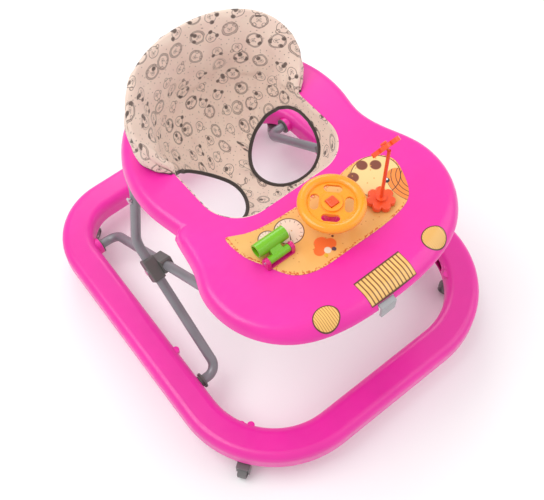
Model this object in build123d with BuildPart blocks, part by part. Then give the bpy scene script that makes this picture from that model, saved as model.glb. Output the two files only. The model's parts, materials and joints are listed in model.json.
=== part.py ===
"""Baby walker: a moulded ring base on four castors, a folding X frame of two bent tubes,
and a toy tray that carries the fabric seat.

Frame: +Z up, the floor is Z = 0, the front of the walker (headlights) faces -Y, and the
origin is under the middle of the base ring. Millimetres.
"""
from build123d import *
from math import atan2, cos, degrees, radians, sin, sqrt, tan
import os

# ---------------------------------------------------------------- driving dimensions
# Base ring: rounded trapezoid centreline, hollow rounded-box section.
RING_HALF_LENGTH = 290.0
RING_HALF_FRONT = 262.0
RING_HALF_REAR = 239.0
RING_R_FRONT = 146.0
RING_R_REAR = 90.0
RING_WIDTH = 55.0
RING_HEIGHT = 45.0
RING_BOTTOM = 37.5
RING_EDGE_R = 14.0
RING_WALL = 2.5

# Castors.
WHEEL_R = 15.0
WHEEL_W = 15.0
CASTOR_TRAIL = 21.0
AXLE_R = 2.5
STEM_R = 3.5
RUNNING = 0.05

# Folding X frame.
TUBE_R = 8.0
TUBE_WALL = 1.5
PIVOT_Z = 60.0
REAR_PIVOT_Y = 216.0
FRONT_PIVOT_Y = -98.0
SCISSOR_DEG = 36.0
FRONT_FRAME_X = 172.0
REAR_FRAME_X = 190.0
STUB_END_X = 236.0
TRAVEL = 72.6

# Tray.
LIP_Z = 330.0
DECK_Z = 350.0
LIP_FLARE = 10.0
TRAY_WALL = 2.5
REAR_LOBE_R = 172.0
REAR_LOBE_Y = 65.0
HOLE_HALF_W = 118.0
HOLE_FRONT_Y = -56.0
HOLE_REAR_Y = 192.0
HINGE_Z = 300.0
TUBE_TOP_Z = 318.0

# Seat.
BACK_W = 141.0
BACK_L = 89.0
BACK_Y = 106.0
BACK_TOP_Z = 464.0
SEAT_LOW_Z = 240.0
CLOTH = 4.0

# Toys on the deck.
STEER_AT = (3.0, -130.0)
STEER_R = 48.0
STEER_Z = 397.0
LEVER_AT = (-90.0, -130.0)
LEVER_AXIS_Z = 361.0
FLOWER_AT = (80.0, -150.0)
FLOWER_HEAD_Z = 470.0

SLOPE = tan(radians(SCISSOR_DEG))
CROSS_Y = (REAR_PIVOT_Y + FRONT_PIVOT_Y) / 2
CROSS_Z = PIVOT_Z + (REAR_PIVOT_Y - CROSS_Y) * SLOPE
SIDES = {"right": -1, "left": 1}

os.makedirs("parts", exist_ok=True)


def save(part, label):
    """Label a finished piece and write it to parts/."""
    part.label = label
    export_step(part, f"parts/{label}.step")


# ---------------------------------------------------------------- base ring
def ring_plan(side):
    """Rounded trapezoid in plan, a distance `side` outside the ring's centreline."""
    with BuildSketch() as plan:
        with BuildLine():
            Polyline(
                (-RING_HALF_FRONT, -RING_HALF_LENGTH),
                (RING_HALF_FRONT, -RING_HALF_LENGTH),
                (RING_HALF_REAR, RING_HALF_LENGTH),
                (-RING_HALF_REAR, RING_HALF_LENGTH),
                close=True,
            )
        make_face()
        offset(amount=side, kind=Kind.INTERSECTION)
        fillet(plan.vertices().group_by(Axis.Y)[0], RING_R_FRONT + side)
        fillet(plan.vertices().group_by(Axis.Y)[-1], RING_R_REAR + side)
    return plan.sketch


def ring_tube(inset):
    """Closed ring with a rounded-box section, inset all round by `inset`."""
    half = RING_WIDTH / 2 - inset
    with BuildPart() as tube:
        with BuildSketch(Plane.XY.offset(RING_BOTTOM + inset)):
            add(ring_plan(half))
            add(ring_plan(-half), mode=Mode.SUBTRACT)
        extrude(amount=RING_HEIGHT - 2 * inset)
        fillet(tube.edges().filter_by(Plane.XY), RING_EDGE_R - inset)
    return tube.part


# Castors: side, end, corner (half-width, radius, angle round the corner) and wheel heading.
CASTORS = {
    "front_right": (-1, -1, RING_HALF_FRONT, RING_R_FRONT, 36.0, 215.0),
    "front_left": (1, -1, RING_HALF_FRONT, RING_R_FRONT, 36.0, 120.0),
    "rear_right": (-1, 1, RING_HALF_REAR, RING_R_REAR, 45.0, 20.0),
    "rear_left": (1, 1, RING_HALF_REAR, RING_R_REAR, 45.0, 250.0),
}


def castor_point(name):
    """Swivel axis of a castor, on the ring's centreline in one of its corners."""
    side, end, half, radius, angle, _ = CASTORS[name]
    x = half - radius + radius * cos(radians(angle))
    y = RING_HALF_LENGTH - radius + radius * sin(radians(angle))
    return side * x, end * y


SOCKET_R = 7.0
SOCKET_TOP = RING_BOTTOM + 30.0
SLOT_HALF_H = 9.9
SLOT_FRONT_Y = FRONT_PIVOT_Y - TRAVEL - 14.0
SLOT_REAR_Y = FRONT_PIVOT_Y + 1.0
BOSS_R = 14.0
BUSH_R = 11.0
BOSS_X0 = 206.0
BUMP_R = 6.0
BUMPS = [(RING_HALF_FRONT - 36.0, -35.0), (222.0, -201.0), (211.0, -211.0)]

with BuildPart() as base_ring:
    add(ring_tube(0))
    add(ring_tube(RING_WALL), mode=Mode.SUBTRACT)
    # Castor sockets: four tubes moulded up into the hollow.
    for name in CASTORS:
        x, y = castor_point(name)
        with BuildSketch(Plane.XY.offset(RING_BOTTOM + 0.5)):
            with Locations((x, y)):
                Circle(SOCKET_R + 3.0)
        extrude(amount=SOCKET_TOP - RING_BOTTOM)
        with BuildSketch(Plane.XY.offset(RING_BOTTOM - 1)):
            with Locations((x, y)):
                Circle(SOCKET_R)
        extrude(amount=SOCKET_TOP - RING_BOTTOM, mode=Mode.SUBTRACT)
    for side in SIDES.values():
        # Boss for the rear frame pivot, closed towards the outside of the ring.
        with BuildSketch(Plane.YZ.offset(side * BOSS_X0)):
            with Locations((REAR_PIVOT_Y, PIVOT_Z)):
                Circle(BOSS_R)
        extrude(amount=side * 44.0)
        with BuildSketch(Plane.YZ.offset(side * (BOSS_X0 - 1))):
            with Locations((REAR_PIVOT_Y, PIVOT_Z)):
                Circle(BUSH_R)
        extrude(amount=side * 36.0, mode=Mode.SUBTRACT)
        # Slot in the inner wall that the front feet of the frame slide along.
        with BuildSketch(Plane.YZ.offset(side * 212.0)):
            with Locations(((SLOT_FRONT_Y + SLOT_REAR_Y) / 2, PIVOT_Z)):
                SlotCenterToCenter(SLOT_REAR_Y - SLOT_FRONT_Y, 2 * SLOT_HALF_H)
        extrude(amount=side * 25.0, mode=Mode.SUBTRACT)
        # Small moulded pips on the inner edge of the ring.
        for x, y in BUMPS:
            with BuildSketch(Plane.XY.offset(RING_BOTTOM + RING_HEIGHT - 14.0)):
                with Locations((side * x, y)):
                    Circle(BUMP_R)
            extrude(amount=9.0)
save(base_ring.part, "base_ring")


# ---------------------------------------------------------------- castors
FORK_TOP = RING_BOTTOM - 2.5
FORK_PLATE = 3.0
CHEEK_T = 2.5
CHEEK_GAP = 0.6
HOOD_OUT = 15.0
HOOD_L = 28.0

with BuildPart() as castor_sockets:
    for name in CASTORS:
        with BuildSketch(Plane.XY.offset(RING_BOTTOM - 2.0)):
            with Locations(castor_point(name)):
                Circle(12.0)
        extrude(amount=1.9)
        with BuildSketch(Plane.XY.offset(RING_BOTTOM - 0.1)):
            with Locations(castor_point(name)):
                Circle(SOCKET_R - 0.02)
        extrude(amount=SOCKET_TOP - RING_BOTTOM - 2.0)
        with BuildSketch(Plane.XY.offset(RING_BOTTOM - 2.0)):
            with Locations(castor_point(name)):
                Circle(STEM_R + RUNNING)
        extrude(amount=SOCKET_TOP - RING_BOTTOM - 3.0, mode=Mode.SUBTRACT)
save(castor_sockets.part, "castor_sockets")

for name in CASTORS:
    cx, cy = castor_point(name)
    heading = radians(CASTORS[name][-1])
    ux, uy = cos(heading), sin(heading)
    ax, ay = cx + CASTOR_TRAIL * ux, cy + CASTOR_TRAIL * uy
    # Axle direction is level and square to the heading.
    axle_plane = Plane(origin=(ax, ay, WHEEL_R), x_dir=(ux, uy, 0), z_dir=(uy, -ux, 0))

    with BuildPart() as fork:
        with BuildSketch(Plane.XY.offset(FORK_TOP - FORK_PLATE)):
            with Locations((cx, cy)):
                Circle(11.0)
            hood_w = WHEEL_W + 2 * (CHEEK_T + CHEEK_GAP)
            hood_at = (cx + HOOD_OUT * ux, cy + HOOD_OUT * uy)
            with Locations(Location(hood_at, degrees(heading))):
                RectangleRounded(HOOD_L, hood_w, 5.0)
        extrude(amount=FORK_PLATE)
        for s in (-1, 1):
            off = s * (WHEEL_W / 2 + CHEEK_GAP) if s > 0 else -(WHEEL_W / 2 + CHEEK_GAP + CHEEK_T)
            with BuildSketch(axle_plane.offset(off)):
                Circle(6.5)
                with Locations((0, (FORK_TOP - WHEEL_R - 1) / 2)):
                    Rectangle(13.0, FORK_TOP - WHEEL_R - 1)
            extrude(amount=CHEEK_T)
        with BuildSketch(axle_plane.offset(-20)):
            Circle(AXLE_R)
        extrude(amount=40.0, mode=Mode.SUBTRACT)
        with BuildSketch(Plane.XY.offset(FORK_TOP - FORK_PLATE - 1)):
            with Locations((cx, cy)):
                Circle(STEM_R)
        extrude(amount=FORK_PLATE + 2, mode=Mode.SUBTRACT)
    save(fork.part, f"castor_fork_{name}")

    with BuildPart() as stem:
        with BuildSketch(Plane.XY.offset(FORK_TOP - FORK_PLATE)):
            with Locations((cx, cy)):
                Circle(STEM_R)
        extrude(amount=SOCKET_TOP - FORK_TOP - 3.0)
        chamfer(stem.edges().group_by(Axis.Z)[-1], 0.8)
    save(stem.part, f"castor_stem_{name}")

    with BuildPart() as axle:
        with BuildSketch(axle_plane.offset(-(WHEEL_W / 2 + CHEEK_GAP + CHEEK_T))):
            Circle(AXLE_R)
        extrude(amount=WHEEL_W + 2 * (CHEEK_GAP + CHEEK_T))
    save(axle.part, f"castor_axle_{name}")

    with BuildPart() as wheel:
        with BuildSketch(axle_plane.offset(-WHEEL_W / 2)):
            Circle(WHEEL_R)
        extrude(amount=WHEEL_W)
        fillet(wheel.edges(), 2.0)
        with BuildSketch(axle_plane.offset(-WHEEL_W / 2)):
            Circle(AXLE_R + RUNNING)
        extrude(amount=WHEEL_W, mode=Mode.SUBTRACT)
        for plane, depth in ((axle_plane.offset(WHEEL_W / 2), -2.0), (axle_plane.offset(-WHEEL_W / 2), 2.0)):
            with BuildSketch(plane):
                Circle(WHEEL_R - 3.5)
                Circle(AXLE_R + 2.5, mode=Mode.SUBTRACT)
            extrude(amount=depth, mode=Mode.SUBTRACT)
    save(wheel.part, f"castor_wheel_{name}")


# ---------------------------------------------------------------- frame tubes
def bent_tube(points, radii):
    """A round tube along straight runs joined by tangent bends."""
    with BuildPart() as tube:
        with BuildLine() as route:
            FilletPolyline(*points, radius=radii)
        start = Plane(origin=points[0], z_dir=Vector(*points[1]) - Vector(*points[0]))
        with BuildSketch(start):
            Circle(TUBE_R)
            Circle(TUBE_R - TUBE_WALL, mode=Mode.SUBTRACT)
        sweep(path=route.wire())
    return tube.part


def cross_bore(radius, centre, x0, x1):
    """A cylinder along X between x0 and x1, through (centre y, centre z)."""
    with BuildPart() as bore:
        with BuildSketch(Plane.YZ.offset(min(x0, x1))):
            with Locations(centre):
                Circle(radius)
        extrude(amount=abs(x1 - x0))
    return bore.part


RIVET_R = 2.5
CROSSING = (CROSS_Y, CROSS_Z)
FRONT_BAR_Y = REAR_PIVOT_Y - (TUBE_TOP_Z - PIVOT_Z) / SLOPE

# Front frame: pivots at the back of the ring and carries the front of the tray.
half_a = [
    (-STUB_END_X, REAR_PIVOT_Y, PIVOT_Z),
    (-FRONT_FRAME_X, REAR_PIVOT_Y, PIVOT_Z),
    (-FRONT_FRAME_X, FRONT_BAR_Y, TUBE_TOP_Z),
]
points_a = half_a + [(-x, y, z) for x, y, z in reversed(half_a)]
radii_a = [20.0, 40.0, 40.0, 20.0]
with BuildPart() as front_frame_tube:
    add(bent_tube(points_a, radii_a))
    for side in SIDES.values():
        add(
            cross_bore(RIVET_R + RUNNING, CROSSING, side * 160.0, side * 184.0),
            mode=Mode.SUBTRACT,
        )
save(front_frame_tube.part, "front_frame_tube")

# Rear frame: its feet slide in the ring's slots and its hoop goes round behind the tray.
HOOP_R = 173.0
LEG_BEND_Y = 100.0
LEG_BEND_Z = PIVOT_Z + (LEG_BEND_Y - FRONT_PIVOT_Y) * SLOPE
HOOP_X = 167.0
hoop_start = degrees(atan2(sqrt(HOOP_R**2 - HOOP_X**2), -HOOP_X))
hoop_half_step = (2 * (hoop_start - 90.0)) / 6
hoop_corner_r = HOOP_R / cos(radians(hoop_half_step))
hoop_y0 = REAR_LOBE_Y
half_b = [
    (-STUB_END_X, FRONT_PIVOT_Y, PIVOT_Z),
    (-REAR_FRAME_X, FRONT_PIVOT_Y, PIVOT_Z),
    (-REAR_FRAME_X, LEG_BEND_Y, LEG_BEND_Z),
    (-HOOP_X, hoop_y0 + sqrt(HOOP_R**2 - HOOP_X**2), TUBE_TOP_Z),
]
hoop_corners = []
for k in range(3):
    angle = radians(hoop_start - hoop_half_step * (2 * k + 1))
    hoop_corners.append(
        (hoop_corner_r * cos(angle), hoop_y0 + hoop_corner_r * sin(angle), TUBE_TOP_Z)
    )
points_b = half_b + hoop_corners + [(-x, y, z) for x, y, z in reversed(half_b)]
radii_b = [20.0, 32.0, 18.0, 150.0, 150.0, 150.0, 18.0, 32.0, 20.0]
HINGE_R = 3.0
# The tray hinges on the rear frame's legs, a little below the hoop.
leg_share = (HINGE_Z - LEG_BEND_Z) / (TUBE_TOP_Z - LEG_BEND_Z)
HINGE_Y = LEG_BEND_Y + leg_share * (half_b[3][1] - LEG_BEND_Y)
with BuildPart() as rear_frame_tube:
    add(bent_tube(points_b, radii_b))
    for side in SIDES.values():
        add(cross_bore(RIVET_R, CROSSING, side * 180.0, side * 200.0), mode=Mode.SUBTRACT)
        add(cross_bore(HINGE_R, (HINGE_Y, HINGE_Z), side * 150.0, side * 190.0), mode=Mode.SUBTRACT)
save(rear_frame_tube.part, "rear_frame_tube")

# Rivets at the crossing, headed on both sides.
with BuildPart() as pivot_rivets:
    for side in SIDES.values():
        x_in = FRONT_FRAME_X - TUBE_R - 3.3
        x_out = REAR_FRAME_X + TUBE_R + 3.0
        add(cross_bore(RIVET_R, CROSSING, side * x_in, side * x_out))
        add(cross_bore(5.0, CROSSING, side * (x_in - 2.0), side * x_in))
        add(cross_bore(5.0, CROSSING, side * x_out, side * (x_out + 2.0)))
save(pivot_rivets.part, "pivot_rivets")

# Bushes in the ring's bosses that the rear stubs turn in.
rear = (REAR_PIVOT_Y, PIVOT_Z)
with BuildPart() as rear_pivot_bushes:
    for side in SIDES.values():
        add(cross_bore(BUSH_R, rear, side * (BOSS_X0 - 0.1), side * (BOSS_X0 + 34.5)))
        add(cross_bore(BUSH_R + 3.0, rear, side * (BOSS_X0 - 2.1), side * (BOSS_X0 - 0.1)))
        add(
            cross_bore(TUBE_R + RUNNING, rear, side * (BOSS_X0 - 3.0), side * (BOSS_X0 + 31.5)),
            mode=Mode.SUBTRACT,
        )
save(rear_pivot_bushes.part, "rear_pivot_bushes")

# Clamp blocks at the crossing: the inner one on the front frame, the outer on the rear frame.
BLOCK_L = 40.0
BLOCK_W = 23.0
BLOCK_FACE_X = (FRONT_FRAME_X + REAR_FRAME_X) / 2
for side_name, side in SIDES.items():
    for kind, centre_x, tilt in (
        ("inner", FRONT_FRAME_X, -SCISSOR_DEG),
        ("outer", REAR_FRAME_X, SCISSOR_DEG),
    ):
        away = -1 if kind == "inner" else 1
        near = BLOCK_FACE_X + away * 0.15
        depth = centre_x + away * (TUBE_R + 3.0) - near
        with BuildPart() as block:
            with BuildSketch(Plane.YZ.offset(side * near)):
                with Locations(Location((CROSS_Y, CROSS_Z), tilt)):
                    RectangleRounded(BLOCK_L, BLOCK_W, 4.0)
            extrude(amount=side * depth)
            fillet(block.edges().group_by(Axis.X)[0 if side * away < 0 else -1], 2.0)
            run = Vector(0, cos(radians(tilt)), sin(radians(tilt)))
            start = Vector(side * centre_x, CROSS_Y, CROSS_Z) - run * BLOCK_L
            with BuildSketch(Plane(origin=start, z_dir=run)):
                Circle(TUBE_R)
            extrude(amount=2 * BLOCK_L, mode=Mode.SUBTRACT)
            bore = RIVET_R + RUNNING if kind == "inner" else RIVET_R
            add(cross_bore(bore, CROSSING, side * 150.0, side * 210.0), mode=Mode.SUBTRACT)
        save(block.part, f"pivot_block_{kind}_{side_name}")

    # Spool on the front foot that runs along the slot.
    with BuildPart() as slider:
        foot = (FRONT_PIVOT_Y, PIVOT_Z)
        add(cross_bore(9.4, foot, side * 222.0, side * 233.5))
        add(cross_bore(13.0, foot, side * 219.0, side * 222.0))
        add(cross_bore(13.0, foot, side * 233.5, side * 237.0))
        add(cross_bore(TUBE_R, foot, side * 218.0, side * 236.0), mode=Mode.SUBTRACT)
    save(slider.part, f"front_foot_slider_{side_name}")


# ---------------------------------------------------------------- tray
def tray_plan(side, nose=0.0):
    """The tray's outline in plan, `side` outside the deck's edge, its front `nose` further."""
    lobe_end = radians(-12.0)
    right = (REAR_LOBE_R * cos(lobe_end), REAR_LOBE_Y + REAR_LOBE_R * sin(lobe_end))
    left = (-right[0], right[1])
    half = [(164.0, -10.0), (178.0, -62.0), (193.5, -103.0), (196.0, -142.0)]
    half += [(182.0, -184.0 - 0.3 * nose), (146.0, -221.0 - 0.7 * nose), (80.0, -244.0 - nose)]
    front = (0, -250.0 - nose)
    route = [right, *half, front, *[(-x, y) for x, y in reversed(half)], left]
    heading = [(sin(lobe_end), -cos(lobe_end)), (sin(lobe_end), cos(lobe_end))]
    with BuildSketch() as plan:
        with BuildLine():
            ThreePointArc(right, (0, REAR_LOBE_Y + REAR_LOBE_R), left)
            Spline(*route, tangents=heading)
        make_face()
        if side:
            offset(amount=side, kind=Kind.ARC)
    return plan.sketch


# Share of the skirt's height, and how far the skin stands outside the deck's edge there.
SKIRT = [(0.0, LIP_FLARE), (0.5, 7.5), (0.85, 2.5), (1.0, -6.0)]


def tray_block(inset):
    """Solid block under the tray's skin, inset from its outer surface."""
    with BuildPart() as block:
        for share, flare in SKIRT:
            height = LIP_Z + share * (DECK_Z - inset - LIP_Z)
            with BuildSketch(Plane.XY.offset(height)):
                add(tray_plan(flare - inset, max(flare, 0.0)))
        loft()
    return block.part


def seat_hole_plan(side):
    """The seat hole in plan, offset outwards by `side`."""
    with BuildSketch() as plan:
        with Locations((0, (HOLE_FRONT_Y + HOLE_REAR_Y) / 2)):
            Rectangle(2 * (HOLE_HALF_W + side), HOLE_REAR_Y - HOLE_FRONT_Y + 2 * side)
        fillet(plan.vertices().group_by(Axis.Y)[0], 62.0 + side)
        fillet(plan.vertices().group_by(Axis.Y)[-1], 105.0 + side)
    return plan.sketch


FLANGE_DEPTH = 18.0
LATCH_X = -15.0
LATCH_W = 26.0
LATCH_Z = 334.0
LATCH_T = 3.0
SKIN_Z = DECK_Z - TRAY_WALL

with BuildPart() as tray_shell:
    add(tray_block(0))
    add(tray_block(TRAY_WALL), mode=Mode.SUBTRACT)
    # Turned-down flange round the seat hole.
    with BuildSketch(Plane.XY.offset(DECK_Z - FLANGE_DEPTH)):
        add(seat_hole_plan(TRAY_WALL))
    extrude(amount=FLANGE_DEPTH - 1.0)
    with BuildSketch(Plane.XY.offset(DECK_Z - FLANGE_DEPTH - 1)):
        add(seat_hole_plan(0))
    extrude(amount=FLANGE_DEPTH + 5.0, mode=Mode.SUBTRACT)
    # Notch in the front lip for the latch handle.
    with BuildSketch(Plane.XZ.offset(235.0)):
        with Locations((LATCH_X, LATCH_Z)):
            Rectangle(LATCH_W + 3.0, 10.0)
    extrude(amount=40.0, mode=Mode.SUBTRACT)
save(tray_shell.part, "tray_shell")

# Hinge ears under the deck, with a pin through each leg of the rear frame.
EAR_X = 147.0
EAR_T = 5.0
hinge = (HINGE_Y, HINGE_Z)
for side_name, side in SIDES.items():
    with BuildPart() as ear:
        with BuildSketch(Plane.YZ.offset(side * EAR_X)):
            with Locations(hinge):
                Circle(9.0)
            with Locations((HINGE_Y, (HINGE_Z + SKIN_Z - 0.1) / 2)):
                Rectangle(18.0, SKIN_Z - 0.1 - HINGE_Z)
        extrude(amount=side * EAR_T)
        with BuildSketch(Plane.XY.offset(SKIN_Z - 3.1)):
            with Locations((side * 136.0, HINGE_Y)):
                RectangleRounded(26.0, 36.0, 4.0)
        extrude(amount=3.0)
        add(
            cross_bore(HINGE_R + RUNNING, hinge, side * (EAR_X - 5), side * (EAR_X + 10)),
            mode=Mode.SUBTRACT,
        )
    save(ear.part, f"tray_hinge_{side_name}")

with BuildPart() as tray_hinge_pins:
    for side in SIDES.values():
        add(cross_bore(HINGE_R, hinge, side * (EAR_X - 3.0), side * 181.0))
        # Head outside the leg, spacer inside it, and a clip inside the ear.
        add(cross_bore(5.5, hinge, side * 181.0, side * 183.0))
        add(cross_bore(5.5, hinge, side * (EAR_X + EAR_T + 0.3), side * 161.0))
        add(cross_bore(5.0, hinge, side * (EAR_X - 2.3), side * (EAR_X - 0.3)))
save(tray_hinge_pins.part, "tray_hinge_pins")

# Rails that the front bar of the frame slides under.
RAIL_X = 70.0
RAIL_Z = TUBE_TOP_Z + TUBE_R + 0.4
with BuildPart() as slide_rails:
    for side in SIDES.values():
        with BuildSketch(Plane.XY.offset(RAIL_Z)):
            with Locations((side * RAIL_X, -181.0)):
                SlotOverall(112.0, 5.0, rotation=90)
        extrude(amount=SKIN_Z - 2.0 - RAIL_Z)
        with BuildSketch(Plane.XY.offset(SKIN_Z - 2.1)):
            with Locations((side * RAIL_X, -178.0)):
                RectangleRounded(18.0, 112.0, 4.0)
        extrude(amount=2.0)
save(slide_rails.part, "slide_rails")

# Height latch: a flat slide with a pull tab under the front lip, its guide and its spring.
TAB_Y = -274.5
LATCH_REAR_Y = -148.0
GUIDE_FRONT_Y = -218.0
GUIDE_REAR_Y = -176.0
with BuildPart() as height_latch:
    with BuildSketch(Plane.XY.offset(LATCH_Z)):
        with Locations((LATCH_X, (TAB_Y + LATCH_REAR_Y) / 2)):
            Rectangle(LATCH_W, LATCH_REAR_Y - TAB_Y)
    extrude(amount=LATCH_T)
    with BuildSketch(Plane.XZ.offset(-TAB_Y - 4.0)):
        with Locations((LATCH_X, LATCH_Z + LATCH_T - 12.0)):
            RectangleRounded(LATCH_W, 24.0, 2.5)
    extrude(amount=4.0)
    with BuildSketch(Plane.XZ.offset(-LATCH_REAR_Y)):
        with Locations((LATCH_X, LATCH_Z + 6.0)):
            Rectangle(LATCH_W - 8.0, 12.0)
    extrude(amount=3.0)
save(height_latch.part, "height_latch")

with BuildPart() as latch_guide:
    with BuildSketch(Plane.XZ.offset(-GUIDE_REAR_Y)):
        with Locations((LATCH_X, (LATCH_Z - 3.0 + SKIN_Z - 0.1) / 2)):
            Rectangle(LATCH_W + 10.0, SKIN_Z - 0.1 - LATCH_Z + 3.0)
        with Locations((LATCH_X, LATCH_Z + LATCH_T / 2)):
            Rectangle(LATCH_W + 0.6, LATCH_T + 0.6, mode=Mode.SUBTRACT)
        with Locations((LATCH_X, LATCH_Z - 2.0)):
            Rectangle(LATCH_W - 8.0, 4.0, mode=Mode.SUBTRACT)
    extrude(amount=GUIDE_REAR_Y - GUIDE_FRONT_Y)
save(latch_guide.part, "latch_guide")

SPRING_WIRE = 0.45
spring_length = LATCH_REAR_Y - 3.0 - GUIDE_REAR_Y - 2 * SPRING_WIRE - 0.2
with BuildPart() as latch_spring:
    foot = (LATCH_X, GUIDE_REAR_Y + SPRING_WIRE + 0.1, LATCH_Z + 7.6)
    with BuildLine():
        coil = Helix(spring_length / 5, spring_length, 3.2, center=foot, direction=(0, 1, 0))
    with BuildSketch(Plane(origin=coil @ 0, z_dir=coil % 0)):
        Circle(SPRING_WIRE)
    sweep(path=coil, is_frenet=True)
save(latch_spring.part, "latch_spring")

# Screws up into the deck that hold the ears, rails and guide.
SCREW_SPOTS = [(s * 131.0, HINGE_Y + dy, SKIN_Z - 3.1) for s in (-1, 1) for dy in (-13.0, 13.0)]
SCREW_SPOTS += [(s * 76.0, y, SKIN_Z - 2.1) for s in (-1, 1) for y in (-224.0, -134.0)]
with BuildPart() as tray_screws:
    for x, y, z in SCREW_SPOTS:
        with BuildSketch(Plane.XY.offset(z - 1.8)):
            with Locations((x, y)):
                Circle(2.6)
        extrude(amount=1.8)
save(tray_screws.part, "tray_screws")


# ---------------------------------------------------------------- printed panel and decals
PANEL_T = 0.8
PANEL_Z = DECK_Z + 0.1
TOY_Z = PANEL_Z + PANEL_T

# Banana-shaped panel with a fuller lobe under the flower.
PANEL_POINTS = [(-124.0, -59.0), (-96.0, -72.0), (-30.0, -80.0), (60.0, -79.0), (112.0, -77.0)]
PANEL_POINTS += [(145.0, -103.0), (139.0, -135.0), (118.0, -168.0), (80.0, -180.0), (-14.0, -181.0)]
PANEL_POINTS += [(-62.0, -178.0), (-92.0, -163.0), (-112.0, -128.0), (-129.0, -80.0)]

with BuildPart() as toy_panel:
    with BuildSketch(Plane.XY.offset(PANEL_Z)):
        with BuildLine():
            Spline(*PANEL_POINTS, periodic=True)
        make_face()
    extrude(amount=PANEL_T)
save(toy_panel.part, "toy_panel")


DECAL_SKIN = 0.4


def skin_decal(plan_face, low_z):
    """A thin label that lies on the tray's skin inside a plan shape, down to low_z."""
    with BuildPart() as label:
        with BuildSketch(Plane.XY.offset(low_z)):
            add(plan_face)
        extrude(amount=DECK_Z - low_z + 5)
        add(tray_block(-DECAL_SKIN), mode=Mode.INTERSECT)
        add(tray_block(0), mode=Mode.SUBTRACT)
    return label.part


for side_name, side in SIDES.items():
    with BuildSketch() as lamp:
        with Locations((side * 99.0, -240.0)):
            Ellipse(20.0, 17.0)
    save(skin_decal(lamp.sketch, LIP_Z + 2.0), f"headlight_label_{side_name}")
with BuildSketch() as grille:
    with Locations((3.0, -246.0)):
        Rectangle(82.0, 42.0)
save(skin_decal(grille.sketch, LATCH_Z + 6.0), "grille_label")


# ---------------------------------------------------------------- seat
with BuildPart() as seat_back:
    with BuildSketch(Plane.XY.offset(DECK_Z + 0.4)):
        with Locations((0, BACK_Y)):
            Ellipse(BACK_W, BACK_L)
            Ellipse(BACK_W - 7.0, BACK_L - 7.0, mode=Mode.SUBTRACT)
    extrude(amount=BACK_TOP_Z - DECK_Z)
    with BuildSketch(Plane.YZ.offset(-200)):
        with BuildLine():
            crown = Spline(
                (78.0, DECK_Z),
                (106.0, DECK_Z + 46.0),
                (150.0, DECK_Z + 92.0),
                (BACK_Y + BACK_L, BACK_TOP_Z - 1.0),
            )
            Line(crown @ 1, (BACK_Y + BACK_L + 20, BACK_TOP_Z - 1.0))
            Line((BACK_Y + BACK_L + 20, BACK_TOP_Z - 1.0), (BACK_Y + BACK_L + 20, DECK_Z))
            Line((BACK_Y + BACK_L + 20, DECK_Z), crown @ 0)
        make_face()
    extrude(amount=400, mode=Mode.INTERSECT)
save(seat_back.part, "seat_back")

SLING_TOP = DECK_Z - 2.0
LEG_AT = (68.0, 55.0, 280.0)
LEG_R = 58.0
LEG_DROP = 48.0


def sling_cup(inset, low):
    """Tapered cup that hangs in the seat hole."""
    with BuildPart() as cup:
        with BuildSketch(Plane.XY.offset(SLING_TOP)):
            add(seat_hole_plan(-0.6 - inset))
        with BuildSketch(Plane.XY.offset(low)):
            with Locations((0, 66.0)):
                RectangleRounded(160.0 - 2 * inset, 170.0 - 2 * inset, 60.0)
        loft()
    return cup.part


with BuildPart() as seat_sling:
    add(sling_cup(0, SEAT_LOW_Z))
    add(sling_cup(CLOTH, SEAT_LOW_Z + CLOTH), mode=Mode.SUBTRACT)
    # Leg holes out to the sides, leaving a strap between them.
    for side in SIDES.values():
        outward = Vector(side * cos(radians(LEG_DROP)), 0, -sin(radians(LEG_DROP)))
        start = Vector(side * LEG_AT[0], LEG_AT[1], LEG_AT[2]) - outward * 20.0
        with BuildSketch(Plane(origin=start, z_dir=outward)):
            Circle(LEG_R)
        extrude(amount=120.0, mode=Mode.SUBTRACT)
save(seat_sling.part, "seat_sling")

# Tabs that hang the seat on the flange of the hole.
with BuildPart() as seat_tabs:
    for side in SIDES.values():
        for y in (0.0, 60.0):
            with BuildSketch(Plane.XY.offset(DECK_Z - FLANGE_DEPTH + 3.0)):
                with Locations((side * (HOLE_HALF_W + TRAY_WALL + 1.75), y)):
                    RectangleRounded(3.4, 16.0, 1.2)
            extrude(amount=8.0)
save(seat_tabs.part, "seat_tabs")


# ---------------------------------------------------------------- steering wheel and horn
SPIGOT_R = 5.0
RIM_R = 7.5
with BuildPart() as steering_post:
    with BuildSketch(Plane.XY.offset(TOY_Z)):
        with Locations(STEER_AT):
            Circle(17.0)
    extrude(amount=3.0)
    fillet(steering_post.edges().group_by(Axis.Z)[-1], 1.2)
    with BuildSketch(Plane.XY.offset(TOY_Z)):
        with Locations(STEER_AT):
            Circle(10.0)
    extrude(amount=STEER_Z - 11.0 - TOY_Z)
    with BuildSketch(Plane.XY.offset(TOY_Z)):
        with Locations(STEER_AT):
            Circle(SPIGOT_R)
    extrude(amount=STEER_Z - 4.0 - TOY_Z)
save(steering_post.part, "steering_post")

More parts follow.
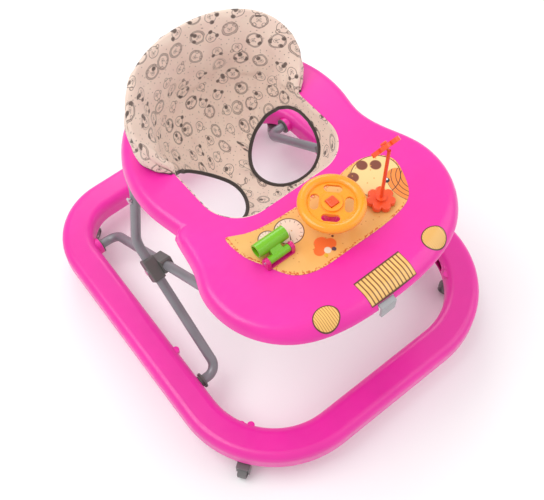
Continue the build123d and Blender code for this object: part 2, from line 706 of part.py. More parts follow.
HUB_TOP = STEER_Z + 4.0
with BuildPart() as steering_wheel:
    axis = Axis((STEER_AT[0], STEER_AT[1], 0), (0, 0, 1))
    with BuildSketch(Plane(origin=(STEER_AT[0], STEER_AT[1], 0), x_dir=(1, 0, 0), z_dir=(0, -1, 0))):
        with Locations((STEER_R - RIM_R, STEER_Z)):
            Ellipse(RIM_R, RIM_R - 1.0)
        with Locations(((STEER_R - RIM_R) / 2, STEER_Z - 1.0)):
            Rectangle(STEER_R - RIM_R, 4.0)
        with Locations((7.5, STEER_Z - 3.4)):
            Rectangle(15.0, 14.8)
    revolve(axis=axis)
    # Four windows between rim and hub.
    with BuildSketch(Plane.XY.offset(STEER_Z - 20)):
        with Locations(STEER_AT):
            with PolarLocations(24.0, 4, start_angle=45):
                SlotOverall(26.0, 12.0, rotation=90)
    extrude(amount=40, mode=Mode.SUBTRACT)
    with BuildSketch(Plane.XY.offset(STEER_Z - 20)):
        with Locations(STEER_AT):
            Circle(SPIGOT_R + RUNNING)
    extrude(amount=16.2, mode=Mode.SUBTRACT)
    with BuildSketch(Plane.XY.offset(STEER_Z - 2.6)):
        with Locations(STEER_AT):
            Rectangle(15.0, 15.0)
    extrude(amount=20, mode=Mode.SUBTRACT)
save(steering_wheel.part, "steering_wheel")

with BuildPart() as horn_button:
    with BuildSketch(Plane.XY.offset(STEER_Z + 0.6)):
        with Locations(STEER_AT):
            RectangleRounded(14.4, 14.4, 2.0)
    extrude(amount=6.4)
    fillet(horn_button.edges().group_by(Axis.Z)[-1], 1.5)
    with BuildSketch(Plane.XY.offset(STEER_Z + 0.5)):
        with Locations(STEER_AT):
            Circle(5.4)
    extrude(amount=2.6, mode=Mode.SUBTRACT)
save(horn_button.part, "horn_button")

with BuildPart() as horn_spring:
    foot = (STEER_AT[0], STEER_AT[1], STEER_Z - 2.6 + SPRING_WIRE + 0.05)
    with BuildLine():
        coil = Helix(1.55, 4.65, 4.0, center=foot)
    with BuildSketch(Plane(origin=coil @ 0, z_dir=coil % 0)):
        Circle(SPRING_WIRE)
    sweep(path=coil, is_frenet=True)
save(horn_spring.part, "horn_spring")


# ---------------------------------------------------------------- roller lever
LEVER_X, LEVER_Y = LEVER_AT
lever_axis = (LEVER_Y, LEVER_AXIS_Z)
LEVER_PIN_R = 2.0
ROLLER_R = 10.5
ROLLER_AT = (LEVER_Y + 19.0, LEVER_AXIS_Z + 8.0)
with BuildPart() as lever_bracket:
    with BuildSketch(Plane.XY.offset(TOY_Z)):
        with Locations((LEVER_X, LEVER_Y)):
            RectangleRounded(48.0, 16.0, 3.0)
    extrude(amount=2.0)
    for s in (-1, 1):
        with BuildSketch(Plane.YZ.offset(LEVER_X + s * 21.0 - 3.0)):
            with Locations(lever_axis):
                Circle(6.5)
            with Locations((LEVER_Y, (TOY_Z + LEVER_AXIS_Z) / 2)):
                Rectangle(13.0, LEVER_AXIS_Z - TOY_Z)
        extrude(amount=6.0)
    add(cross_bore(LEVER_PIN_R, lever_axis, LEVER_X - 30, LEVER_X + 30), mode=Mode.SUBTRACT)
save(lever_bracket.part, "lever_bracket")

with BuildPart() as lever_pin:
    add(cross_bore(LEVER_PIN_R, lever_axis, LEVER_X - 25.0, LEVER_X + 25.0))
save(lever_pin.part, "lever_pin")

with BuildPart() as roller_lever:
    add(cross_bore(5.6, lever_axis, LEVER_X - 17.6, LEVER_X + 17.6))
    with BuildSketch(Plane.YZ.offset(LEVER_X - 9.0)):
        with BuildLine():
            Polyline(
                (LEVER_Y, LEVER_AXIS_Z - 4.5),
                (ROLLER_AT[0], ROLLER_AT[1] - 6.0),
                (ROLLER_AT[0], ROLLER_AT[1] + 6.0),
                (LEVER_Y, LEVER_AXIS_Z + 5.0),
                close=True,
            )
        make_face()
    extrude(amount=18.0)
    add(cross_bore(ROLLER_R, ROLLER_AT, LEVER_X - 25.0, LEVER_X + 25.0))
    add(cross_bore(ROLLER_R - 2.2, ROLLER_AT, LEVER_X - 26.0, LEVER_X - 10.0), mode=Mode.SUBTRACT)
    add(
        cross_bore(LEVER_PIN_R + RUNNING, lever_axis, LEVER_X - 30, LEVER_X + 30),
        mode=Mode.SUBTRACT,
    )
save(roller_lever.part, "roller_lever")


# ---------------------------------------------------------------- flower toy
def flower_plan(petals, reach, petal_r, heart_r):
    """A flower outline: round petals about a round heart."""
    with BuildSketch() as plan:
        Circle(heart_r)
        with PolarLocations(reach, petals):
            Circle(petal_r)
    return plan.sketch


FLOWER_X, FLOWER_Y = FLOWER_AT
STALK_R = 2.6
HEAD_TILT = 25.0
HEAD_OUT = 6.0
with BuildPart() as flower_pedestal:
    with BuildSketch(Plane.XY.offset(TOY_Z)):
        with Locations(FLOWER_AT):
            Circle(12.0)
    extrude(amount=2.0)
    with BuildSketch(Plane.XY.offset(TOY_Z)):
        with Locations(FLOWER_AT):
            Circle(3.0)
    extrude(amount=9.0)
save(flower_pedestal.part, "flower_pedestal")

with BuildPart() as flower_knob:
    with BuildSketch(Plane.XY.offset(TOY_Z + 2.4)):
        with Locations(FLOWER_AT):
            add(flower_plan(7, 14.0, 7.0, 14.0))
    extrude(amount=7.6)
    fillet(flower_knob.edges().group_by(Axis.Z)[-1], 2.0)
    with BuildSketch(Plane.XY.offset(TOY_Z + 5.0)):
        with Locations(FLOWER_AT):
            Circle(8.0)
    extrude(amount=9.0)
    with BuildSketch(Plane.XY.offset(TOY_Z)):
        with Locations(FLOWER_AT):
            Circle(3.0 + RUNNING)
    extrude(amount=9.2, mode=Mode.SUBTRACT)
save(flower_knob.part, "flower_knob")

head_axis = Vector(0, cos(radians(HEAD_TILT)), sin(radians(HEAD_TILT)))
head_at = Vector(FLOWER_X, FLOWER_Y, FLOWER_HEAD_Z) + head_axis * HEAD_OUT
with BuildPart() as flower_stalk:
    with BuildSketch(Plane.XY.offset(TOY_Z + 14.0)):
        with Locations(FLOWER_AT):
            Circle(STALK_R)
    extrude(amount=FLOWER_HEAD_Z - TOY_Z - 14.0 + 2.0)
    root = Vector(FLOWER_X, FLOWER_Y, FLOWER_HEAD_Z)
    with BuildSketch(Plane(origin=root, z_dir=head_axis)):
        Circle(2.0)
    extrude(amount=HEAD_OUT + 5.0)
save(flower_stalk.part, "flower_stalk")

with BuildPart() as flower_head:
    head_plane = Plane(origin=head_at, x_dir=(1, 0, 0), z_dir=head_axis)
    with BuildSketch(head_plane.offset(-2.0)):
        add(flower_plan(6, 15.0, 8.5, 12.0))
    extrude(amount=6.5)
    with BuildSketch(head_plane.offset(-3.0)):
        Circle(2.0 + RUNNING)
    extrude(amount=8.2, mode=Mode.SUBTRACT)
save(flower_head.part, "flower_head")

with BuildPart() as flower_cap:
    with BuildSketch(head_plane.offset(5.1)):
        Circle(5.0)
    extrude(amount=3.5)
    fillet(flower_cap.edges().group_by(Axis.Y)[-1], 1.5)
save(flower_cap.part, "flower_cap")
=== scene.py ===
"""Looks for the baby walker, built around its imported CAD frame. Metres, +Z up, front towards -Y."""

import json
import math
import random

import bmesh
import bpy
from mathutils import Matrix, Vector
from mathutils.bvhtree import BVHTree


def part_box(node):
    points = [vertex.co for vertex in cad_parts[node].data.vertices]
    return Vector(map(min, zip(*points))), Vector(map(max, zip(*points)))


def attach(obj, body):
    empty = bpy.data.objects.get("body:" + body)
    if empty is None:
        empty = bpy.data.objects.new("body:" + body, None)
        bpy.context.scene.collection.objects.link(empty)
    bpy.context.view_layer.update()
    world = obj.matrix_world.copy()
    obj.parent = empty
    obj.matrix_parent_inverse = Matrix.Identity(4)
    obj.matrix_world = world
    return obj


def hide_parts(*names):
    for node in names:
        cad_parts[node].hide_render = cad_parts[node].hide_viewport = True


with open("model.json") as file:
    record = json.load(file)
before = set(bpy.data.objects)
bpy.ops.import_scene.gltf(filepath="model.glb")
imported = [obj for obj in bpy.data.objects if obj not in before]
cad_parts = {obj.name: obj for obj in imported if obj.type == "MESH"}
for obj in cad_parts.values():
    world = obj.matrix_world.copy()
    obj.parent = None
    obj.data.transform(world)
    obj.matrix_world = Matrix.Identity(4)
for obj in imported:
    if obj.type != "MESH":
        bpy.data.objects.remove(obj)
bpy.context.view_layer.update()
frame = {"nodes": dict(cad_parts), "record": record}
random.seed(7)


# ---------------------------------------------------------------- shader helpers
class Shader:
    """A node material, with short calls for the nodes the looks below need."""

    def __init__(self, name, rough=0.5, coat=0.0, metal=0.0, sheen=0.0):
        self.mat = bpy.data.materials.new(name)
        self.mat.use_nodes = True
        self.tree = self.mat.node_tree
        self.bsdf = self.tree.nodes["Principled BSDF"]
        self.set("Roughness", rough)
        self.set("Coat Weight", coat)
        self.set("Coat Roughness", 0.12)
        self.set("Metallic", metal)
        self.set("Sheen Weight", sheen)
        self.where = self.node("ShaderNodeTexCoord").outputs["Object"]

    def node(self, kind, **values):
        made = self.tree.nodes.new(kind)
        for key, value in values.items():
            if hasattr(made, key):
                setattr(made, key, value)
        return made

    def put(self, socket, value):
        if hasattr(value, "is_output"):
            self.tree.links.new(value, socket)
        else:
            socket.default_value = value

    def set(self, name, value):
        self.put(self.bsdf.inputs[name], value)

    def math(self, operation, a, b=0.0, c=0.0, clamp=False):
        made = self.node("ShaderNodeMath", operation=operation, use_clamp=clamp)
        for socket, value in zip(made.inputs, (a, b, c)):
            self.put(socket, value)
        return made.outputs[0]

    def vector(self, operation, a, b=(0, 0, 0)):
        made = self.node("ShaderNodeVectorMath", operation=operation)
        self.put(made.inputs[0], a)
        self.put(made.inputs[1], b)
        return made.outputs["Value" if operation in ("LENGTH", "DISTANCE", "DOT_PRODUCT") else 0]

    def noise(self, scale, detail=2.0, at=None, stretch=None):
        at = at or self.where
        if stretch:
            at = self.vector("MULTIPLY", at, stretch)
        made = self.node("ShaderNodeTexNoise")
        self.put(made.inputs["Vector"], at)
        self.put(made.inputs["Scale"], scale)
        self.put(made.inputs["Detail"], detail)
        return made.outputs["Fac"]

    def mix(self, share, a, b):
        made = self.node("ShaderNodeMix", data_type="RGBA")
        for socket, value in zip((made.inputs[0], made.inputs[6], made.inputs[7]), (share, a, b)):
            self.put(socket, (*value, 1.0) if isinstance(value, tuple) and len(value) == 3 else value)
        return made.outputs[2]

    def span(self, value, low, high, to_low=0.0, to_high=1.0):
        made = self.node("ShaderNodeMapRange", clamp=True)
        for socket, v in zip(made.inputs, (value, low, high, to_low, to_high)):
            self.put(socket, v)
        return made.outputs[0]

    def bump(self, height, strength, depth, edge=0.0):
        made = self.node("ShaderNodeBump")
        self.put(made.inputs["Strength"], strength)
        self.put(made.inputs["Distance"], depth)
        self.put(made.inputs["Height"], height)
        if edge:
            bevel = self.node("ShaderNodeBevel", samples=6)
            self.put(bevel.inputs["Radius"], edge)
            self.put(made.inputs["Normal"], bevel.outputs[0])
        self.set("Normal", made.outputs[0])


def shade(colour, share):
    return tuple(c * share for c in colour)


def moulded(name, colour, rough=0.3, coat=0.25, grain=0.00004, edge=0.0008):
    """Moulded plastic: slight flow marks in colour, fine skin texture, soft edges."""
    s = Shader(name, rough, coat)
    flow = s.noise(9.0, 3.0)
    fine = s.noise(700.0, 3.0)
    s.set("Base Color", s.mix(s.span(flow, 0.3, 0.7), shade(colour, 0.93), shade(colour, 1.05)))
    scuff = s.noise(60.0, 5.0, stretch=(1.0, 1.6, 1.0))
    s.set("Roughness", s.span(scuff, 0.35, 0.75, rough - 0.04, rough + 0.09))
    s.set("Subsurface Weight", 0.03)
    s.set("Subsurface Radius", (0.004, 0.002, 0.002))
    s.bump(fine, 0.12, grain, edge)
    return s.mat


def coated_tube(name, colour):
    """Powder coat: pebbly skin with a dull sheen."""
    s = Shader(name, 0.42, 0.1, 0.35)
    pebble = s.noise(1400.0, 2.0)
    cloud = s.noise(25.0, 4.0)
    s.set("Base Color", s.mix(s.span(cloud, 0.3, 0.7), shade(colour, 0.88), shade(colour, 1.1)))
    s.set("Roughness", s.span(cloud, 0.3, 0.7, 0.36, 0.5))
    s.bump(pebble, 0.5, 0.00006, 0.0005)
    return s.mat


def plated(name, colour):
    """Zinc-plated steel with fine turning marks."""
    s = Shader(name, 0.28, 0.0, 1.0)
    marks = s.noise(500.0, 3.0, stretch=(0.2, 1.0, 1.0))
    s.set("Base Color", s.mix(marks, shade(colour, 0.8), shade(colour, 1.1)))
    s.set("Roughness", s.span(marks, 0.3, 0.7, 0.2, 0.42))
    s.bump(marks, 0.3, 0.00003, 0.0003)
    return s.mat


PINK = (0.84, 0.020, 0.366)
GREY = (0.245, 0.235, 0.255)
YELLOW = (0.95, 0.33, 0.008)
RED_ORANGE = (0.87, 0.085, 0.015)
GREEN = (0.17, 0.50, 0.006)
MAGENTA = (0.72, 0.004, 0.20)
CHARCOAL = (0.115, 0.108, 0.102)
CLOTH_BASE = (0.86, 0.655, 0.56)
INK = (0.045, 0.026, 0.022)
TAN = (0.83, 0.47, 0.12)

LOOKS = {
    "pink_plastic": moulded("pink_moulding", PINK, 0.32, 0.15, 0.00002, 0.0),
    "white_castor": moulded("castor_nylon", (0.16, 0.15, 0.15), 0.42, 0.05, 0.00005),
    "steel": plated("zinc_plate", (0.62, 0.62, 0.63)),
    "grey_tube": coated_tube("grey_powder_coat", GREY),
    "dark_grey_plastic": moulded("charcoal_plastic", CHARCOAL, 0.45, 0.0, 0.00006),
    "grey_plastic": moulded("grey_latch_plastic", (0.36, 0.36, 0.37), 0.4, 0.0, 0.00005),
    "yellow_plastic": moulded("yellow_plastic", YELLOW, 0.27, 0.3),
    "orange_plastic": moulded("red_orange_plastic", RED_ORANGE, 0.3, 0.25),
    "green_plastic": moulded("green_plastic", GREEN, 0.27, 0.3),
    "magenta_plastic": moulded("magenta_plastic", MAGENTA, 0.27, 0.3),
}
slots = {p["node"]: p["material_slot"] for p in frame["record"]["subparts"]}
slots["flower_stalk"] = "orange_plastic"
for node, obj in frame["nodes"].items():
    if slots[node] in LOOKS:
        obj.data.materials.clear()
        obj.data.materials.append(LOOKS[slots[node]])


# ---------------------------------------------------------------- printed seat cloth
def printed_cloth(name):
    """Plain weave printed with a generic scatter of small round faces, drawn in brown ink."""
    s = Shader(name, 0.85, 0.0, 0.0, 0.25)
    uv = s.node("ShaderNodeTexCoord").outputs["UV"]
    cell = 0.030
    grid = s.vector("MULTIPLY", uv, (1 / cell, 1 / cell, 1.0))
    spots = s.node("ShaderNodeTexVoronoi", voronoi_dimensions="2D", feature="F1")
    s.put(spots.inputs["Vector"], grid)
    s.put(spots.inputs["Scale"], 1.0)
    s.put(spots.inputs["Randomness"], 0.55)
    pick = s.node("ShaderNodeSeparateColor")
    s.put(pick.inputs[0], spots.outputs["Color"])
    first, second, third = pick.outputs
    away = s.vector("SUBTRACT", grid, spots.outputs["Position"])
    turn = s.node("ShaderNodeVectorRotate", rotation_type="Z_AXIS")
    s.put(turn.inputs["Vector"], away)
    s.put(turn.inputs["Angle"], s.math("MULTIPLY", first, 6.283))
    q = turn.outputs[0]
    wobble = s.math("MULTIPLY", s.math("SUBTRACT", s.noise(5.0, 2.0, at=grid), 0.5), 0.07)

    def dist(x, y):
        return s.vector("DISTANCE", q, (x, y, 0.0))

    def disc(x, y, r, soft=0.018):
        return s.span(dist(x, y), r + soft, r - soft)

    def ring(x, y, r, w):
        off = s.math("ABSOLUTE", s.math("SUBTRACT", s.math("ADD", dist(x, y), wobble), r))
        return s.span(off, w + 0.012, w - 0.008)

    def either(*masks):
        total = masks[0]
        for mask in masks[1:]:
            total = s.math("MAXIMUM", total, mask)
        return total

    big = s.span(second, 0.5, 0.54)
    small_r = s.math("ADD", 0.24, s.math("MULTIPLY", second, 0.08))
    outline = ring(0, 0, small_r, 0.011)
    mane = s.math("MULTIPLY", either(ring(0, 0, 0.37, 0.011), ring(0, 0, 0.33, 0.006)), big)
    ears = either(ring(0.21, 0.20, 0.085, 0.011), ring(-0.21, 0.20, 0.085, 0.011))
    dark_ears = either(disc(0.20, 0.22, 0.095), disc(-0.20, 0.22, 0.095))
    ears_kind = s.span(third, 0.62, 0.64)
    ears = either(s.math("MULTIPLY", dark_ears, ears_kind), ears)
    face = either(disc(0.085, 0.03, 0.024), disc(-0.085, 0.03, 0.024), disc(0, -0.07, 0.034))
    muzzle = ring(0, -0.085, 0.085, 0.006)
    patch_on = s.span(first, 0.66, 0.68)
    patch = s.math("MULTIPLY", disc(0.12, 0.10, 0.11), patch_on)
    crescent = s.math("MULTIPLY", disc(0.02, -0.28, 0.13), s.span(second, 0.78, 0.8))
    crescent = s.math("MULTIPLY", crescent, s.span(dist(0, 0), 0.22, 0.25))
    motif = either(outline, mane, ears, face, muzzle, patch, crescent)
    # Loose dots between the faces.
    dots = s.node("ShaderNodeTexVoronoi", voronoi_dimensions="2D", feature="F1")
    s.put(dots.inputs["Vector"], grid)
    s.put(dots.inputs["Scale"], 3.1)
    s.put(dots.inputs["Randomness"], 0.9)
    loose = s.math("MULTIPLY", s.span(dots.outputs["Distance"], 0.09, 0.05), s.span(dist(0, 0), 0.40, 0.43))
    motif = either(motif, loose)
    worn = s.span(s.noise(3.0, 4.0, at=grid), 0.2, 0.8, 0.78, 0.96)
    ink = s.math("MULTIPLY", motif, worn)
    tint = s.span(s.noise(1.3, 2.0, at=grid), 0.3, 0.7)
    ground = s.mix(tint, shade(CLOTH_BASE, 0.97), (0.87, 0.70, 0.585))
    # Weave of warp and weft, 0.7 mm apart.
    thread = 2 * math.pi / 0.0007
    axes = s.node("ShaderNodeSeparateXYZ")
    s.put(axes.inputs[0], uv)
    warp = s.math("SINE", s.math("MULTIPLY", axes.outputs[0], thread))
    weft = s.math("SINE", s.math("MULTIPLY", axes.outputs[1], thread))
    weave = s.math("MULTIPLY", warp, weft)
    ground = s.mix(s.span(weave, -1, 1, 0.0, 0.12), ground, shade(CLOTH_BASE, 0.8))
    s.set("Base Color", s.mix(ink, ground, INK))
    s.set("Roughness", s.span(weave, -1, 1, 0.78, 0.92))
    creases = s.math("ADD", s.math("MULTIPLY", weave, 0.15), s.noise(1.6, 4.0, at=grid))
    s.bump(creases, 0.5, 0.0012)
    return s.mat


def piping_cloth(name):
    """Dark twill tape with diagonal ribs."""
    s = Shader(name, 0.8, 0.0, 0.0, 0.2)
    rib = s.node("ShaderNodeTexWave", wave_type="BANDS", bands_direction="DIAGONAL")
    s.put(rib.inputs["Vector"], s.where)
    s.put(rib.inputs["Scale"], 420.0)
    lint = s.noise(300.0, 3.0)
    s.set("Base Color", s.mix(rib.outputs["Fac"], (0.030, 0.021, 0.018), (0.062, 0.046, 0.040)))
    s.set("Roughness", s.span(lint, 0.3, 0.7, 0.7, 0.9))
    s.bump(rib.outputs["Fac"], 0.6, 0.0003)
    return s.mat


CLOTH = printed_cloth("printed_seat_cloth")
PIPING = piping_cloth("dark_piping")


def new_mesh(name, verts, faces, material, body="tray", smooth=True):
    mesh = bpy.data.meshes.new(name)
    mesh.from_pydata([tuple(v) for v in verts], [], faces)
    mesh.validate()
    obj = bpy.data.objects.new(name, mesh)
    bpy.context.scene.collection.objects.link(obj)
    mesh.materials.append(material)
    mesh.shade_smooth() if smooth else None
    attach(obj, body)
    return obj


def tube_mesh(name, path, radius, material, closed=True, sides=10, flat=1.0):
    """Round cord or tape swept along a path of points."""
    verts, faces = [], []
    count = len(path)
    for i, point in enumerate(path):
        before = path[i - 1] if closed or i else path[0]
        after = path[(i + 1) % count] if closed or i < count - 1 else path[-1]
        along = (after - before).normalized()
        side = along.cross(Vector((0.08, 0.05, 1))).normalized()
        lift = side.cross(along)
        for k in range(sides):
            angle = 2 * math.pi * k / sides
            verts.append(point + side * (radius * math.cos(angle)) + lift * (radius * flat * math.sin(angle)))
    for i in range(count if closed else count - 1):
        j = (i + 1) % count
        for k in range(sides):
            m = (k + 1) % sides
            faces.append((i * sides + k, i * sides + m, j * sides + m, j * sides + k))
    if not closed:
        faces.append(tuple(range(sides))[::-1])
        faces.append(tuple((count - 1) * sides + k for k in range(sides)))
    return new_mesh(name, verts, faces, material)


def smooth_step(x, low, high):
    x = min(1.0, max(0.0, (x - low) / (high - low)))
    return x * x * (3 - 2 * x)


# ---------------------------------------------------------------- seat shape
tray = frame["nodes"]["tray_shell"]
tray_bvh = BVHTree.FromObject(tray, bpy.context.evaluated_depsgraph_get())
DECK_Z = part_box("tray_shell")[1][2]
back_lo, back_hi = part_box("seat_back")
BACK_A = back_hi[0]
BACK_B = 0.089
BACK_Y = back_hi[1] - BACK_B
RISE = 0.112
SPREAD = 0.113
END_T = 1.92
CENTRE = Vector((0.0, 0.068, 0.0))
FLOOR_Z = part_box("seat_sling")[0][2] + 0.003


def hole_radius(direction):
    """Distance from CENTRE to the flange of the seat hole."""
    start = Vector((CENTRE.x, CENTRE.y, DECK_Z - 0.008))
    hit = tray_bvh.ray_cast(start, direction, 0.4)
    return hit[3]


def column(t):
    """Plan direction, hole radius, skirt radius, top radius and height of the back at angle t."""
    plan = Vector((BACK_A * math.sin(t), BACK_Y + BACK_B * math.cos(t), 0)) - CENTRE
    ellipse = plan.length
    direction = plan.normalized()
    hole = hole_radius(direction)
    over = min(1.0, max(0.0, (abs(t) - 1.4) / 0.55)) ** 1.6
    skirt = hole + (ellipse - hole) * (1 - over)
    height = RISE * max(0.0, 1 - (abs(t) / END_T) ** 2.56)
    return direction, hole, skirt, skirt + SPREAD * height, height


def puckers(t, depth):
    """Small soft folds of the cloth, stronger near its lower edge."""
    a = math.sin(9 * t + 4 * depth) * 0.0016
    b = math.sin(17 * t - 9 * depth + 1.3) * 0.0009
    c = math.sin(31 * t + 3.1) * 0.0006 * depth
    return a + b + c


def inner_profile(t):
    """Points (radius, z) down the inside of the seat, from the top edge to the seat bottom."""
    direction, hole, skirt, top, height = column(t)
    full = min(1.0, height / 0.02)
    low = smooth_step(abs(t), 1.7, 2.05)
    z_top = DECK_Z + 0.0022 + height - 0.003 * low
    top = top + (hole - 0.0016 - top) * low
    rolled = [
        (top + 0.0035 * full, z_top - 0.006 * full),
        (top + 0.0028 * full, z_top - 0.002 * full),
        (top + 0.0005 * full, z_top),
        (top - 0.0025 * full, z_top - 0.0012 * full - 0.0004),
    ]
    inside = hole - 0.003
    points = list(rolled)
    wall = 14
    for k in range(1, wall + 1):
        share = k / wall
        r = top - 0.004 * full + (inside - top + 0.004 * full) * share
        r -= 0.006 * math.sin(math.pi * share) * full
        z = z_top - 0.003 * full - 0.0008 + (DECK_Z - 0.004 - z_top + 0.003 * full + 0.0008) * share
        points.append((r + puckers(t, share) * full, z))
    cup = 34
    drop = DECK_Z - 0.004 - FLOOR_Z
    for k in range(1, cup + 1):
        angle = math.pi / 2 * k / cup
        r = inside * math.cos(angle) ** 0.72 if k < cup else 0.0
        z = DECK_Z - 0.004 - drop * math.sin(angle) ** 1.15
        fold = puckers(t, 1.0) * math.sin(2 * angle) * 1.5
        points.append((max(0.0, r - abs(fold)), z))
    return direction, points


COLUMNS = 360
rows = None
grid_points = []
for i in range(COLUMNS):
    t = -math.pi + 2 * math.pi * i / COLUMNS
    direction, profile = inner_profile(t)
    rows = len(profile)
    for r, z in profile:
        grid_points.append(Vector((CENTRE.x + direction.x * r, CENTRE.y + direction.y * r, z)))

# Leg holes: the cloth inside a slanted round tunnel out through each side of the cup.
LEG_AT = (0.068, 0.055, 0.280)
LEG_AXIS = Vector((0.67, 0.0, -0.74)).normalized()
LEG_R = (0.062, 0.061)


def leg_level(point):
    """Below 1 inside a leg hole."""
    x = abs(point.x)
    axis = LEG_AXIS
    away = Vector((x, point.y, point.z)) - Vector(LEG_AT)
    side = axis.cross(Vector((0, 0, 1))).normalized()
    lift = side.cross(axis)
    return math.sqrt((away.dot(side) / LEG_R[0]) ** 2 + (away.dot(lift) / LEG_R[1]) ** 2)


verts = grid_points
faces = []
for i in range(COLUMNS):
    j = (i + 1) % COLUMNS
    for k in range(rows - 1):
        faces.append((i * rows + k, i * rows + k + 1, j * rows + k + 1, j * rows + k))

# Arc length of each column from the bottom's middle, for the print.
runs = []
for i in range(COLUMNS):
    total = 0.0
    column_runs = [0.0] * rows
    for k in range(rows - 2, -1, -1):
        total += (verts[i * rows + k] - verts[i * rows + k + 1]).length
        column_runs[k] = total
    runs.extend(column_runs)


def build_inner():
    mesh = bpy.data.meshes.new("seat_cloth_inner")
    mesh.from_pydata([tuple(v) for v in verts], [], faces)
    bm = bmesh.new()
    bm.from_mesh(mesh)
    bm.verts.ensure_lookup_table()
    uv = bm.loops.layers.uv.new("print")
    for face in bm.faces:
        mid = face.calc_center_median() - CENTRE
        rear = mid.y > -0.004
        sign = 1.0 if rear else -1.0
        for loop in face.loops:
            p = loop.vert.co - CENTRE
            run = runs[loop.vert.index]
            angle = math.atan2(p.x, abs(p.y) if rear == (p.y > 0) else -abs(p.y))
            radius = math.hypot(p.x, p.y)
            spread = smooth_step(radius, 0.03, 0.10)
            u = p.x + (0.125 * angle - p.x) * spread
            loop[uv].uv = (u + 0.5, 0.7 + sign * run)
    inside = [f for f in bm.faces if all(leg_level(v.co) < 1.0 for v in f.verts)]
    bmesh.ops.delete(bm, geom=inside, context="FACES")
    # Pull the cut edge onto the hole's outline.
    for vert in bm.verts:
        if vert.is_boundary and leg_level(vert.co) < 1.3 and vert.co.z < DECK_Z - 0.006:
            target = Vector((math.copysign(LEG_AT[0], vert.co.x), LEG_AT[1], LEG_AT[2]))
            axis = Vector((math.copysign(LEG_AXIS.x, vert.co.x), LEG_AXIS.y, LEG_AXIS.z))
            away = vert.co - target
            flat = away - axis * away.dot(axis)
            level = leg_level(vert.co)
            if level > 0.01:
                vert.co += flat * (1.0 / level - 1.0)
    bmesh.ops.remove_doubles(bm, verts=bm.verts, dist=0.00002)
    bm.to_mesh(mesh)
    bm.free()
    mesh.shade_smooth()
    return mesh


inner_mesh = build_inner()
inner = bpy.data.objects.new("seat_cloth_inner", inner_mesh)
bpy.context.scene.collection.objects.link(inner)
inner_mesh.materials.append(CLOTH)
thick = inner.modifiers.new("thickness", "SOLIDIFY")
thick.thickness = 0.0022
thick.offset = -1.0
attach(inner, "tray")

# Outer side of the back, down to its hem on the deck.
outer_verts, outer_faces = [], []
OUT_COLUMNS, OUT_ROWS = 200, 16
hem = []
outer_runs = []
for i in range(OUT_COLUMNS + 1):
    t = -1.9 + 3.8 * i / OUT_COLUMNS
    direction, hole, skirt, top, height = column(t)
    full = min(1.0, height / 0.02)
    z_top = DECK_Z + 0.0022 + height
    for k in range(OUT_ROWS + 1):
        share = k / OUT_ROWS
        r = top + 0.0032 * full + (skirt - top) * share + 0.007 * math.sin(math.pi * share) * full
        r += puckers(t * 1.3, 1 - share) * full * 0.8
        z = z_top - 0.004 * full + (DECK_Z + 0.0012 - z_top + 0.004 * full) * share
        outer_verts.append(Vector((CENTRE.x + direction.x * r, CENTRE.y + direction.y * r, z)))
    hem.append(outer_verts[-1] + Vector((0, 0, 0.0008)))
for i in range(OUT_COLUMNS):
    for k in range(OUT_ROWS):
        a = i * (OUT_ROWS + 1) + k
        b = a + OUT_ROWS + 1
        outer_faces.append((a, b, b + 1, a + 1))
outer = new_mesh("seat_cloth_outer", outer_verts, outer_faces, CLOTH)
layer = outer.data.uv_layers.new(name="print")
for loop in outer.data.loops:
    i, k = divmod(loop.vertex_index, OUT_ROWS + 1)
    layer.data[loop.index].uv = (3.0 + 0.0021 * i * 1.35, 1.0 + outer_verts[loop.vertex_index].z)
thick = outer.modifiers.new("thickness", "SOLIDIFY")
thick.thickness = 0.0022
thick.offset = -1.0
hem_tape = tube_mesh("seat_hem_piping", hem, 0.0021, PIPING, closed=False)


def leg_edge(side):
    """The leg hole's edge, found where tunnel lines meet the cloth."""
    bvh = BVHTree.FromPolygons([tuple(v) for v in verts], faces)
    axis = Vector((side * LEG_AXIS.x, LEG_AXIS.y, LEG_AXIS.z))
    across = axis.cross(Vector((0, 0, 1))).normalized()
    lift = across.cross(axis)
    centre = Vector((side * LEG_AT[0], LEG_AT[1], LEG_AT[2]))
    points = []
    for k in range(140):
        angle = 2 * math.pi * k / 140
        rim = centre + across * (LEG_R[0] * math.cos(angle)) + lift * (LEG_R[1] * math.sin(angle))
        hit = bvh.ray_cast(rim - axis * 0.06, axis, 0.25)
        if hit[0]:
            points.append(hit[0])
    return points


for side, word in ((-1, "right"), (1, "left")):
    tube_mesh(f"leg_piping_{word}", leg_edge(side), 0.0030, PIPING, flat=1.0)

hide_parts("seat_sling")
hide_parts("seat_back")


# ---------------------------------------------------------------- printed labels
def label_base(name, colour, rough=0.35):
    s = Shader(name, rough, 0.35)
    grain = s.noise(260.0, 4.0)
    s.bump(grain, 0.2, 0.00003)
    return s


